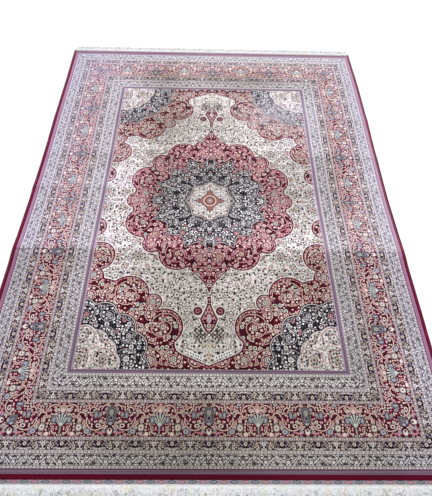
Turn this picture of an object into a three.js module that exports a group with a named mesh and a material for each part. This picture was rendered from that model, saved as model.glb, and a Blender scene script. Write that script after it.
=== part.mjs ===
// A hand-knotted silk rug, lying flat: one woven cloth with its cut pile and its two thin
// flat-woven ends, an overcast cord along each long side, and a fringe of loose warp ends at each end.
// Millimetres, +Z up. X runs across the rug, Y along it, and the floor is Z = 0.
// The origin is on the floor, under the middle of the rug.

import * as THREE from 'three';

// ---- Driving dimensions ----

const overallWidth = 1830;
const pileLength = 2440;
const pileThickness = 5;
const endWeaveLength = 13;
const endWeaveThickness = 2;
const pileEdgeSlope = 2.5;
const pieceGap = 0.3;

const selvedgeWidth = 7;
const selvedgeHeight = 6;

const fringeLength = 45;
const fringeThickness = 1.8;
const fringeHeading = 7;
const bundlePitch = 18;
const bundleGap = 2.4;
const bundleTipShare = 0.62;
const bundleShortening = [0, 3, 1, 5, 2, 0, 4, 1, 3];

// The section of a side cord, as shares of its width outwards and of its height upwards. It has
// a flat foot, a flat flank against the cloth and a rounded outer side.
const selvedgeSection = [
  { out: 0, up: 0 },
  { out: 0.6, up: 0 },
  { out: 1, up: 0.3 },
  { out: 1, up: 0.65 },
  { out: 0.6, up: 1 },
  { out: 0.2, up: 1 },
  { out: 0, up: 0.8 },
];

const columnsAcross = 14;
const plainRowSpacing = 120;

// Fold creases left from storage. Each one runs across the rug: y is its place along the rug,
// reach is the distance over which the cloth lifts on each side of it, height is its lift at the
// crest, and left, middle and right say how much of that lift there is across the width.
const creases = [
  { y: 587, reach: 45, height: 3.0, left: 0.3, middle: 0.3, right: 1.0 },
  { y: 287, reach: 60, height: 2.2, left: 0.4, middle: 0.5, right: 0.8 },
  { y: 62, reach: 60, height: 2.6, left: 1.0, middle: 0.3, right: 0.2 },
  { y: -305, reach: 85, height: 4.5, left: 1.0, middle: 0.5, right: 0.9 },
];

// The long sides draw in a little between these places: y is the place along the rug, and left
// and right are how far each side lies inside the full width there.
const sideLine = [
  { y: -1233, left: 0, right: 0 },
  { y: -660, left: 0, right: 4 },
  { y: -305, left: 1, right: 7 },
  { y: 30, left: 6, right: 12.5 },
  { y: 287, left: 7, right: 9.5 },
  { y: 600, left: 3, right: 4 },
  { y: 900, left: 3, right: 2 },
  { y: 1233, left: 0, right: 7 },
];

// ---- Sizes worked out from them ----

const clothLength = pileLength + 2 * endWeaveLength;
const clothWidth = overallWidth - 2 * (selvedgeWidth + pieceGap);
const halfCloth = clothLength / 2;
const halfPile = pileLength / 2;

// ---- The lie of the cloth ----

// A smooth step from 0 to 1.
function easeStep(t) {
  return t * t * (3 - 2 * t);
}

// The lift of the cloth above the floor at a point of the rug.
function liftAt(x, y) {
  const across = (2 * x) / overallWidth;
  let lift = 0;
  for (const crease of creases) {
    const distance = Math.abs(y - crease.y) / crease.reach;
    if (distance >= 1) continue;
    const side = across < 0 ? crease.left : crease.right;
    const share = crease.middle + (side - crease.middle) * across * across;
    lift += crease.height * share * easeStep(1 - distance);
  }
  return lift;
}

// How far a long side lies inside the full width at a place along the rug.
function drawIn(y, side) {
  for (let i = 1; i < sideLine.length; i += 1) {
    const from = sideLine[i - 1];
    const to = sideLine[i];
    if (y > to.y) continue;
    const t = Math.max(0, (y - from.y) / (to.y - from.y));
    return from[side] + (to[side] - from[side]) * easeStep(t);
  }
  return sideLine[sideLine.length - 1][side];
}

// The places along the rug where the cloth is cut into facets: its ends, the edges of the pile,
// five at each crease, and plain ones between.
function clothRows() {
  const rows = new Set([-halfCloth, -halfPile, -halfPile + pileEdgeSlope]);
  rows.add(halfPile - pileEdgeSlope);
  rows.add(halfPile);
  rows.add(halfCloth);
  for (const crease of creases) {
    for (const step of [-1, -0.5, 0, 0.5, 1]) rows.add(crease.y + step * crease.reach);
  }
  const corners = [...rows].sort((a, b) => a - b);
  const all = [corners[0]];
  for (let i = 1; i < corners.length; i += 1) {
    const span = corners[i] - corners[i - 1];
    const parts = Math.ceil(span / plainRowSpacing);
    for (let k = 1; k <= parts; k += 1) all.push(corners[i - 1] + (span * k) / parts);
  }
  return all;
}

const rows = clothRows();

// The thickness of the cloth: thin in the flat-woven ends, full where it has pile.
function thicknessAt(y) {
  const intoPile = (halfPile - Math.abs(y)) / pileEdgeSlope;
  const share = Math.min(1, Math.max(0, intoPile));
  return endWeaveThickness + (pileThickness - endWeaveThickness) * share;
}

// ---- Materials ----

function silkPile() {
  return new THREE.MeshStandardMaterial({ color: 0xa8838a, roughness: 0.62, metalness: 0 });
}

function overcastSilk() {
  return new THREE.MeshStandardMaterial({ color: 0x5c1030, roughness: 0.55, metalness: 0 });
}

function fringeSilk() {
  return new THREE.MeshStandardMaterial({ color: 0xe4e6ec, roughness: 0.5, metalness: 0 });
}

// ---- Pieces ----

function namedMesh(name, geometry, material) {
  const mesh = new THREE.Mesh(geometry, material);
  mesh.name = name;
  return mesh;
}

// The woven cloth: a flat box of facets, moved to the rug's outline, thickness and creases.
function rugCloth() {
  const geometry = new THREE.BoxGeometry(
    clothWidth, clothLength, 1, columnsAcross, rows.length - 1, 1,
  );
  const position = geometry.attributes.position;
  for (let i = 0; i < position.count; i += 1) {
    const rowIndex = Math.round((position.getY(i) / clothLength + 0.5) * (rows.length - 1));
    const y = rows[rowIndex];
    const left = -clothWidth / 2 + drawIn(y, 'left');
    const right = clothWidth / 2 - drawIn(y, 'right');
    const across = position.getX(i) / clothWidth + 0.5;
    const x = left + (right - left) * across;
    const onTop = position.getZ(i) > 0;
    const z = liftAt(x, y) + (onTop ? thicknessAt(y) : 0);
    position.setXYZ(i, x, y, z);
  }
  return namedMesh('rug_cloth', geometry, silkPile());
}

// An overcast cord along one long side: its section is carried along the side line, over the
// creases, and closed with a flat face at each end.
function selvedge(name, side) {
  const outward = side === 'left' ? -1 : 1;
  const vertices = [];
  for (const y of rows) {
    const inner = clothWidth / 2 - drawIn(y, side) + pieceGap;
    const lift = liftAt(outward * inner, y);
    for (const point of selvedgeSection) {
      const x = outward * (inner + point.out * selvedgeWidth);
      vertices.push(x, y, lift + point.up * selvedgeHeight);
    }
  }
  const triangles = [];
  const addFace = (a, b, c) => {
    triangles.push(...(outward > 0 ? [a, b, c] : [a, c, b]));
  };
  const count = selvedgeSection.length;
  for (let r = 0; r + 1 < rows.length; r += 1) {
    for (let k = 0; k < count; k += 1) {
      const a = r * count + k;
      const b = r * count + ((k + 1) % count);
      addFace(a, a + count, b);
      addFace(b, a + count, b + count);
    }
  }
  const lastRow = (rows.length - 1) * count;
  for (let k = 1; k + 1 < count; k += 1) {
    addFace(0, k, k + 1);
    addFace(lastRow, lastRow + k + 1, lastRow + k);
  }
  const geometry = new THREE.BufferGeometry();
  geometry.setAttribute('position', new THREE.Float32BufferAttribute(vertices, 3));
  geometry.setIndex(triangles);
  geometry.computeVertexNormals();
  return namedMesh(name, geometry, overcastSilk());
}

// A fringe: one flat comb, with a heading along the cloth's end and a row of tapering bundles.
// It is drawn with its heading along X and its bundles towards +Y, and turned round for the near end.
function fringeOutline(end) {
  const y = end * halfCloth;
  const left = -clothWidth / 2 + drawIn(y, end > 0 ? 'left' : 'right');
  const right = clothWidth / 2 - drawIn(y, end > 0 ? 'right' : 'left');
  const count = Math.round((right - left) / bundlePitch);
  const pitch = (right - left) / count;
  const shape = new THREE.Shape();
  shape.moveTo(right, 0);
  for (let i = count - 1; i >= 0; i -= 1) {
    const start = left + i * pitch;
    const middle = start + pitch / 2;
    const rootHalf = (pitch - bundleGap) / 2;
    const tipHalf = rootHalf * bundleTipShare;
    const tip = fringeLength - bundleShortening[i % bundleShortening.length];
    shape.lineTo(i === count - 1 ? right : middle + rootHalf, fringeHeading);
    shape.lineTo(middle + tipHalf, tip);
    shape.lineTo(middle - tipHalf, tip);
    shape.lineTo(i === 0 ? left : middle - rootHalf, fringeHeading);
  }
  shape.lineTo(left, 0);
  shape.closePath();
  return shape;
}

function fringe(name, end) {
  const geometry = new THREE.ExtrudeGeometry(fringeOutline(end), {
    depth: fringeThickness,
    bevelEnabled: false,
  });
  const mesh = namedMesh(name, geometry, fringeSilk());
  mesh.position.y = end * (halfCloth + pieceGap);
  if (end < 0) mesh.rotation.z = Math.PI;
  return mesh;
}

// ---- The rug ----

const group = new THREE.Group();
group.add(rugCloth());
group.add(selvedge('selvedge_left', 'left'));
group.add(selvedge('selvedge_right', 'right'));
group.add(fringe('fringe_far', 1));
group.add(fringe('fringe_near', -1));

export default group;
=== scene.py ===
"""A hand-knotted silk rug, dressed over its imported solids.

The pattern is laid out in millimetres on the flat cloth, from the rug's middle. Meshes are in metres.
"""

import math
from types import SimpleNamespace

import bpy
import numpy as np
from mathutils import Matrix, Vector


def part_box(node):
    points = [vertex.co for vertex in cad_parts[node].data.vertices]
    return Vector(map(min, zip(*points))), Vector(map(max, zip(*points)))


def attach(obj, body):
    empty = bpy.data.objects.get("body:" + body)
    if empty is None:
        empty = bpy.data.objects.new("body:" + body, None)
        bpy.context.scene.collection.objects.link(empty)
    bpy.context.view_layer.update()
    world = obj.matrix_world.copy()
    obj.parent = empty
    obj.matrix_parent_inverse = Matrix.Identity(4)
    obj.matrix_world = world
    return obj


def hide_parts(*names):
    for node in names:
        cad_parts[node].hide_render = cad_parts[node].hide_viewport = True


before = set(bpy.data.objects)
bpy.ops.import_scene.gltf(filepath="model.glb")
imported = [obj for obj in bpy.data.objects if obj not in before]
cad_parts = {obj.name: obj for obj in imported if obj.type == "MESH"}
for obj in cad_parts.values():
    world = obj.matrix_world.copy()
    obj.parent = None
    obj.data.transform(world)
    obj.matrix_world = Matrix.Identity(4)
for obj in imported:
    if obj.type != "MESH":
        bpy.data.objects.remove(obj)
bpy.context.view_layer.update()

# ---- sizes, from the frame

MM = 0.001
CLOTH_LOW, CLOTH_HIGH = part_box("rug_cloth")
_, CORD_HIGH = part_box("selvedge_right")
FRINGE_LOW, FRINGE_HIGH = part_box("fringe_far")

FULL_WIDTH = 2 * CORD_HIGH[0] / MM
CLOTH_WIDTH = (CLOTH_HIGH[0] - CLOTH_LOW[0]) / MM
CLOTH_LENGTH = (CLOTH_HIGH[1] - CLOTH_LOW[1]) / MM
FRINGE_START, FRINGE_END = FRINGE_LOW[1] / MM, FRINGE_HIGH[1] / MM

END_WEAVE = 14.8  # how much of each flat-woven end the pile leaves bare
PATTERN_OVER = 1.8  # how far the pattern's outer line lies past the pile's edge at both ends
FOUNDATION_THICKNESS = 2.0
PILE_THICKNESS = 5.0
CORD_WIDTH = 7.0
CORD_HEIGHT = 6.0
PIECE_GAP = 0.3

HALF_WIDTH = FULL_WIDTH / 2
HALF_CLOTH = CLOTH_LENGTH / 2
HALF_PILE = HALF_CLOTH - END_WEAVE
HALF_PATTERN = HALF_PILE + PATTERN_OVER

# Fold creases left from storage, as in the solids: place along the rug, reach on each side, lift at the
# crest, and the share of that lift at the left, in the middle and at the right.
CREASES = (
    (587, 45, 3.0, 0.3, 0.3, 1.0),
    (287, 60, 2.2, 0.4, 0.5, 0.8),
    (62, 60, 2.6, 1.0, 0.3, 0.2),
    (-305, 85, 4.5, 1.0, 0.5, 0.9),
)
CREST_HALF = 5.0  # half width of the parted pile along a crest
CREST_WANDER, CREST_WANDER_PITCH, CREST_RIPPLE, CREST_RIPPLE_PITCH = 2.5, 71, 1.5, 23

# Painted shade and sheen for the way the pile lies: painted shade, darker at the near end, and painted
# sheen and shade, lighter or darker beside each crease, as how much lighter, how far beyond the crease,
# and the reach.
NEAR_SHADE, NEAR_SHADE_FROM, NEAR_SHADE_OVER = 0.3, -270, 90
CREASE_SHEEN_AND_SHADE = ((0.10, 60, 50), (-0.07, -22, 22))
# Soft patches of painted sheen and shade where the pile lies another way: place across and along, reach
# across and along, how much lighter.
SHEEN_AND_SHADE_PATCHES = (
    (-760, 600, 170, 900, 0.22), (-680, 980, 220, 160, 0.20), (-250, 450, 110, 560, -0.26),
    (-320, 960, 110, 90, -0.15), (60, 250, 220, 500, -0.10), (420, 620, 170, 150, 0.44),
    (430, 130, 230, 200, -0.18), (0, 1180, 900, 110, 0.20), (760, 900, 170, 400, 0.12),
    (820, -350, 150, 500, 0.22), (-500, -470, 170, 200, 0.20), (380, -650, 150, 90, 0.15),
    (-60, -1130, 330, 200, -0.20), (200, -430, 120, 90, 0.20), (-800, -680, 150, 350, 0.14),
    (800, -880, 140, 160, 0.16), (300, 920, 110, 90, -0.16), (400, -30, 130, 110, -0.12),
    (-200, 70, 150, 110, -0.12), (0, 520, 260, 110, -0.12), (0, 930, 500, 60, -0.22),
    (0, -1190, 900, 90, -0.07), (230, 600, 150, 170, 0.20), (-150, 880, 120, 170, 0.14),
    (200, -60, 100, 150, 0.15), (-350, -660, 150, 130, 0.16), (350, -570, 100, 90, 0.12),
    (0, 1030, 900, 50, 0.10), (620, -1020, 110, 240, -0.09), (660, 170, 90, 120, -0.09),
    (915, 350, 50, 650, 0.35), (0, 1224, 1300, 18, 0.30), (-420, -470, 130, 130, 0.12),
    (-440, 120, 60, 220, 0.15), (-300, 60, 60, 150, -0.12), (330, 60, 60, 150, -0.08),
    (0, 160, 130, 40, -0.17), (-420, -560, 90, 60, 0.10), (545, -100, 14, 700, 0.26),
    (0, -895, 800, 45, 0.08), (500, 800, 100, 90, -0.09), (470, 90, 60, 170, -0.10),
    (0, 215, 170, 50, -0.09), (0, -190, 150, 60, 0.08), (0, 345, 150, 40, 0.05),
)

# How far each long side draws in: place along the rug, left and right.
SIDE_LINE = (
    (-1233, 0, 0),
    (-660, 0, 4),
    (-305, 1, 7),
    (30, 6, 12.5),
    (287, 7, 9.5),
    (600, 3, 4),
    (900, 3, 2),
    (1233, 0, 7),
)
LEFT, RIGHT = 1, 2


def ease(t):
    return t * t * (3 - 2 * t)


def strength(x, crease):
    """How strong a crease is across the rug, from 0 to 1."""
    left, middle, right = crease[3:]
    across = 2 * x / FULL_WIDTH
    return middle + (np.where(across < 0, left, right) - middle) * across**2


def lift(x, y):
    """The cloth's lift above the floor, for arrays of places."""
    total = 0 * (x + y)
    for crease in CREASES:
        place, reach, height = crease[:3]
        total = total + height * strength(x, crease) * ease(np.clip(1 - abs(y - place) / reach, 0, 1))
    return total


def parting(x, y):
    """How far the pile is parted by a crease's crest, from 0 to 1."""
    total = 0 * (x + y)
    for crease in CREASES:
        wander = CREST_WANDER * np.sin(x / CREST_WANDER_PITCH + crease[0])
        wander = wander + CREST_RIPPLE * np.sin(x / CREST_RIPPLE_PITCH)
        total = total + strength(x, crease) * np.clip(1 - abs(y - crease[0] - wander) / CREST_HALF, 0, 1)
    return np.clip(total, 0, 1)


def nap_sheen_and_shade(x, y):
    """The painted shade and sheen of the pile for the way it lies, as a lightness about 1."""
    tone = 1 - NEAR_SHADE * ease(np.clip((NEAR_SHADE_FROM - y) / NEAR_SHADE_OVER, 0, 1))
    for crease in CREASES:
        for amount, beyond, reach in CREASE_SHEEN_AND_SHADE:
            away = (y - crease[0] - beyond) / reach
            tone = tone + amount * strength(x, crease) * np.exp(-(away**2))
    for patch_x, patch_y, reach_x, reach_y, amount in SHEEN_AND_SHADE_PATCHES:
        tone = tone + amount * np.exp(-(((x - patch_x) / reach_x) ** 2) - ((y - patch_y) / reach_y) ** 2)
    return tone


def draw_in(y, side):
    """How far a long side lies inside the full width, for places along the rug."""
    total = 0.0 * y
    for low, high in zip(SIDE_LINE, SIDE_LINE[1:]):
        t = np.clip((y - low[0]) / (high[0] - low[0]), 0, 1)
        total = total + (high[side] - low[side]) * ease(t)
    return SIDE_LINE[0][side] + total


# ---- colours


def colour(red, green, blue):
    """A linear colour from sRGB parts of 0 to 255."""
    parts = [part / 255 for part in (red, green, blue)]
    return (*(c / 12.92 if c <= 0.04045 else ((c + 0.055) / 1.055) ** 2.4 for c in parts), 1)


EDGE_CRIMSON = colour(100, 0, 36)
LINE_PURPLE = colour(104, 78, 102)
LINE_GREY = colour(168, 150, 162)
LINE_RED = colour(118, 48, 80)
# The lines' colours along the sides, lighter and pinker: painted sheen.
SIDE_LINE_SHEEN = colour(134, 84, 112)
SIDE_LINE_PALE_SHEEN = colour(194, 156, 176)
LINE_DARK = colour(112, 92, 112)
IVORY = colour(237, 230, 228)
IVORY_TINT = colour(202, 193, 191)
RED = colour(112, 14, 44)
DEEP_RED = colour(92, 10, 34)
WINE = colour(46, 8, 20)
OUTLINE = colour(84, 14, 38)
NAVY = colour(47, 36, 46)
BLACK = colour(16, 13, 18)
PINK = colour(240, 180, 186)
MEDALLION_PINK = colour(236, 163, 174)
MEDALLION_BLUSH = colour(253, 213, 216)
PEACH = colour(236, 188, 178)
CREAM = colour(240, 220, 212)
WHITE = colour(244, 242, 242)
TAN = colour(190, 176, 158)
TAN_GREY = colour(158, 132, 124)
PALM_TAN = colour(220, 208, 180)
VINE_PEACH = colour(236, 202, 192)
PALE_GREY = colour(178, 178, 190)
LILAC_GREY = colour(188, 172, 180)
LEAF_GREY = colour(130, 131, 142)
STONE = colour(160, 157, 152)
MIST = colour(206, 211, 204)
MID_GREY = colour(136, 128, 138)
RUST = colour(146, 104, 94)
RUST_PALE = colour(212, 176, 168)
ROSE = colour(204, 132, 146)
MAROON = colour(84, 34, 48)
SLATE = colour(54, 41, 46)
GUARD = colour(194, 186, 186)
GUARD_DARK = colour(73, 61, 68)
# A grey veil for the light guard along the sides: painted sheen.
GUARD_SHEEN_VEIL = colour(152, 142, 150)
MINOR_LINE = colour(166, 150, 151)
MINOR_DARK = colour(112, 98, 102)
MINOR_BEAD = colour(212, 196, 194)
GUARD_LINE = colour(170, 163, 164)
GUARD_BEAD = colour(222, 217, 215)
OVAL_GREY = colour(122, 120, 124)
OVAL_DARK = colour(78, 72, 80)
WHITE_SILK = colour(244, 245, 248)

# ---- sums made of shader nodes


def node(tree, kind, inputs=(), output=0, **settings):
    """Adds a node. inputs are numbers, tuples or Varying, by place or by name."""
    made = tree.nodes.new(kind)
    for name, value in settings.items():
        setattr(made, name, value)
    for key, value in inputs.items() if isinstance(inputs, dict) else enumerate(inputs):
        if isinstance(value, Varying):
            tree.links.new(value.socket, made.inputs[key])
        else:
            made.inputs[key].default_value = value
    return Varying(tree, made.outputs[output])


def summing(operation):
    """A method that adds one Math node of this kind."""
    return lambda self, *others: self.sum(operation, *others)


class Varying:
    """A number, place or colour that varies over a surface. Sums with it add shader nodes."""

    def __init__(self, tree, socket):
        self.tree = tree
        self.socket = socket

    def sum(self, operation, *others):
        return node(self.tree, "ShaderNodeMath", (self, *others), operation=operation)

    def vector(self, operation, *others, output="Vector"):
        return node(self.tree, "ShaderNodeVectorMath", (self, *others), output, operation=operation)

    __add__ = summing("ADD")
    __sub__ = summing("SUBTRACT")
    __mul__ = summing("MULTIPLY")
    __truediv__ = summing("DIVIDE")
    __pow__ = summing("POWER")
    __abs__ = summing("ABSOLUTE")
    __lt__ = summing("LESS_THAN")
    __gt__ = summing("GREATER_THAN")
    __and__ = summing("MULTIPLY")
    __or__ = summing("MAXIMUM")
    least = summing("MINIMUM")
    most = summing("MAXIMUM")
    folded = summing("PINGPONG")

    def __rsub__(self, other):
        return node(self.tree, "ShaderNodeMath", (other, self), operation="SUBTRACT")

    def __invert__(self):
        return 1.0 - self

    def parts(self):
        made = self.tree.nodes.new("ShaderNodeSeparateXYZ")
        self.tree.links.new(self.socket, made.inputs[0])
        return [Varying(self.tree, output) for output in made.outputs]

    def painted(self, mask, paint):
        """This colour, with paint where mask is 1."""
        return mixed(mask, self, paint, "RGBA")

    def distance(self, x, y):
        return self.vector("DISTANCE", (x, y, 0), output="Value")

    def circle(self, x, y, radius):
        """The distance to a circle's edge, below 0 inside it."""
        return self.distance(x, y) - radius

    def length(self):
        return self.vector("LENGTH", output="Value")

    def oval(self, x, y, half_x, half_y):
        """The mask of an oval."""
        shares, shift = (1 / half_x, 1 / half_y, 0), (-x / half_x, -y / half_y, 0)
        return self.vector("MULTIPLY_ADD", shares, shift).length() < 1

    def moved(self, x, y):
        return self.vector("ADD", (x, y, 0))

    def scaled(self, factor):
        return self.vector("MULTIPLY", (factor,) * 3)

    def waves(self, number):
        """The size of a sine of this angle, number times as fast."""
        return abs((self * number).sum("SINE"))

    def ripple(self, step):
        """A sine wave with this step."""
        return (self * (2 * math.pi / step)).sum("SINE")

    def within(self, low, high):
        return self.most(low).least(high)


def mixed(mask, low, high, kind="FLOAT"):
    """low where mask is 0, high where it is 1."""
    first, result = {"FLOAT": (2, 0), "VECTOR": (4, 1), "RGBA": (6, 2)}[kind]
    inputs = {0: mask, first: low, first + 1: high}
    return node(mask.tree, "ShaderNodeMix", inputs, result, data_type=kind)


def place(tree, *parts):
    return node(tree, "ShaderNodeCombineXYZ", parts)


def attribute(tree, name, output):
    return node(tree, "ShaderNodeAttribute", (), output, attribute_name=name)


def even(tree, paint):
    """A colour that is the same all over, for a pattern to be painted on."""
    made = node(tree, "ShaderNodeRGB")
    made.socket.default_value = paint
    return made


def scatter(at, pitch, jitter=0.75):
    """The distance to the nearest of many scattered places, and two chances of its own."""
    inputs = {"Vector": at, "Scale": 1 / pitch, "Randomness": jitter}
    distance = node(at.tree, "ShaderNodeTexVoronoi", inputs, "Distance", voronoi_dimensions="2D")
    chances = Varying(at.tree, distance.socket.node.outputs["Color"]).parts()
    return distance * pitch, chances[0], chances[1]


def cloudy(at, size, detail=2.0):
    """A soft number about 0.5, in patches of about this size."""
    return node(at.tree, "ShaderNodeTexNoise", {"Vector": at, "Scale": 1 / size, "Detail": detail})


class Picture:
    """A colour that is painted over, one mask after another."""

    def __init__(self, paint):
        self.paint = paint

    def add(self, mask, paint):
        self.paint = self.paint.painted(mask, paint)

    def layers(self, distance, where, *layers):
        """Each paint in turn within its own distance, where the mask is 1."""
        for reach, paint in layers:
            self.add((distance < reach) & where, paint)

    def figures(self, at, figures, where=None):
        """Figures: a middle, then ovals about it as half sizes and paint, where the mask is 1."""
        for middle_x, middle_y, *ovals in figures:
            for half_x, half_y, paint in ovals:
                mask = at.oval(middle_x, middle_y, half_x, half_y)
                self.add(mask if where is None else mask & where, paint)


# ---- the field

# The field is the same in its four quarters, so it is laid out in one: x to the side, y to the end.
# A lobe is a circle, as x, y and radius.
KNOT = 1.4
BORDER_DEPTH = 375
FIELD_X, FIELD_Y = HALF_WIDTH - BORDER_DEPTH, HALF_PATTERN - BORDER_DEPTH
FIELD_OFF_X, FIELD_OFF_Y = -4, -12  # how far the medallion's middle lies from the rug's
MEDALLION_LOBES = ((324, 134, 84), (268, 258, 46), (149, 309, 84), (372, 0, 46))
MEDALLION_CORE = 385
NECK_HALF, NECK_Y, TIP_Y, NECK_CURVE = 92, 388, 505, 1.5
SPANDREL_LOBES = ((508, 325, 72), (352, 518, 89), (243, 552, 38), (190, 664, 80), (552, 165, 54))
SPANDREL_FILLING = ((530, 440, 60), (FIELD_X, FIELD_Y, 410))
END_HALF, END_TIP_Y, END_SLOPE, END_ROUND = 142, 826, 0.42, 46
CORNER_IVORY, CORNER_IVORY_SCALLOP = 181, 9
CORNER_NAVY, CORNER_NAVY_SCALLOP = 284, 24
CORNER_LOBES = 8
STAR_TIP, STAR_NOTCH = 298, 48
ROSETTE_TIP, ROSETTE_NOTCH = 124, 18
CENTRE_STAR, STAR_CURVE = 82, 0.62
PENDANT_Y, PENDANT_HALF_X, PENDANT_ABOVE, PENDANT_BELOW = 628, 35, 96, 62
PENDANT_CURVE_ABOVE, PENDANT_CURVE_BELOW, PENDANT_EDGE_SHARE = 1.6, 0.6, 0.8
PENDANT_BALL, PENDANT_BALL_RING = (48, 592, 16.5), (48, 592, 7)
STEM_Y, STEM_REACH, STEM_HALF = 555, 22, 5.0
KNOP_Y = 520
PENDANT_FIGURES = (
    (0, KNOP_Y, (9, 12, SLATE), (6, 9, STONE)),
    (0, PENDANT_Y - 2, (14, 26, WINE), (12, 23, ROSE), (8.5, 18, PALE_GREY)),
)
OUTLINE_HALF = 3.0
FAR = 99  # a distance that is never inside anything
SIDE_LINE_EXTRA = 5.0  # the lines round the field are this much wider at the sides
FIELD_DOT_PITCH, FIELD_RING_PITCH, MOTTLE, BROAD_MOTTLE = 12.6, 24.0, 16, 26
SECOND_SCATTER = (400, 700)  # how far a second scatter is moved, so that it has other places
DOT_STEP, DOT_RADIUS = 8.4, 6.4  # staggered dots: half their step along slanting rows, and their size
DOTTED_OVAL = (36, 686, 30, 32)
PALMS = ((0, 748, 7, 13), (22, 738, 4.5, 10), (0, 796, 7, 13))
PALM_RIM = 2.2
END_LINE_FROM, END_LINE_X, END_LINE_HALF, END_LINE_IN = 735, 60, 36, 21
SCROLL_CELL = 94.0
SCROLL = SCROLL_CELL / 2
SCROLLS_IN_STAR, SCROLLS_IN_RING = 4, 6  # in a quarter turn of the medallion
SCROLL_STEP = 0.5  # how far a vine draws in over one turn, as a share of the scroll
LOBE_INSET, LOBE_SCROLL = 9, 0.85  # where a lobe's own scroll starts, and its size as a share of the lobe
VINE_FROM, VINE_TO = 0.3, 1.02  # a vine's start and end, as shares of the scroll
BUDS, PETALS, PETAL_DEPTH = 8, 6, 0.14
RAYS, RAY_AT, RAY_HALF, RAY_SHARE = 11, 16.8, 3, 0.2


def lobes_edge(at, lobes, nearest=None):
    """The distance to the edge of joined lobes, and the nearest lobe so far with its middle and size."""
    union = None
    for x, y, size in lobes:
        edge = at.circle(x, y, size)
        union = edge if union is None else union.least(edge)
        if nearest is None:
            nearest = (edge, (x, y, 0), size)
            continue
        closer = edge < nearest[0]
        middle = mixed(closer, nearest[1], (x, y, 0), "VECTOR")
        nearest = (nearest[0].least(edge), middle, mixed(closer, nearest[2], size))
    return union, nearest


def field_zones(at):
    """The field's shapes, as masks and distances in mm."""
    x, y, _ = at.parts()
    radius = at.length()
    turn = y.sum("ARCTAN2", x)
    medallion, nearest = lobes_edge(at, MEDALLION_LOBES)
    spandrel, nearest = lobes_edge(at, SPANDREL_LOBES, nearest)

    neck = ((TIP_Y - y) / (TIP_Y - NECK_Y)).within(0.0, 1.0)
    neck_edge = (x - (neck**NECK_CURVE) * NECK_HALF).most(y - TIP_Y)
    medallion = medallion.least(radius - MEDALLION_CORE).least(neck_edge)

    for lobe in SPANDREL_FILLING:
        spandrel = spandrel.least(at.circle(*lobe))
    end_edge = (x - END_HALF).sum("SMOOTH_MAX", y + x * END_SLOPE - END_TIP_Y, END_ROUND)
    spandrel = spandrel.least((end_edge * -1).most(SPANDREL_LOBES[3][1] - y))

    above = y < PENDANT_Y
    reach = above * (PENDANT_BELOW - PENDANT_ABOVE) - PENDANT_BELOW
    left = (abs(y - PENDANT_Y) / reach + 1).most(0.0)
    curve = above * (PENDANT_CURVE_ABOVE - PENDANT_CURVE_BELOW) + PENDANT_CURVE_BELOW
    pendant = (x - left**curve * PENDANT_HALF_X) * PENDANT_EDGE_SHARE + (left < 0.01) * FAR
    stem = x.most(abs(y - STEM_Y) - STEM_REACH) - STEM_HALF
    pendant = pendant.least(at.circle(*PENDANT_BALL)).least(stem)

    star = radius + turn.waves(8) * STAR_NOTCH - STAR_TIP
    rosette = radius + turn.waves(4) * ROSETTE_NOTCH - ROSETTE_TIP
    corner = at.distance(FIELD_X, FIELD_Y)
    corner_turn = (FIELD_Y - y).sum("ARCTAN2", FIELD_X - x)
    corner_wave = abs((corner_turn * CORNER_LOBES).sum("COSINE"))
    corner_navy = corner - corner_wave * CORNER_NAVY_SCALLOP - CORNER_NAVY
    corner_ivory = corner - corner_turn.waves(CORNER_LOBES) * CORNER_IVORY_SCALLOP - CORNER_IVORY

    in_star, in_corner = star < 0, corner_navy < 0
    outer = medallion.least(spandrel).least(pendant)
    inner = abs(star)
    for edge in (rosette, corner_navy, corner_ivory):
        inner = inner.least(abs(edge))
    return SimpleNamespace(
        red=(outer < 0) & ~in_star & ~in_corner,
        navy=(in_star & (rosette > 0)) | (in_corner & (corner_ivory > 0)),
        corner=corner_ivory < 0,
        outer=outer,
        inner=inner,
        lobe=nearest,
        radius=radius,
        turn=turn,
        in_medallion=medallion < 0,
        in_star=in_star,
    )


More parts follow.
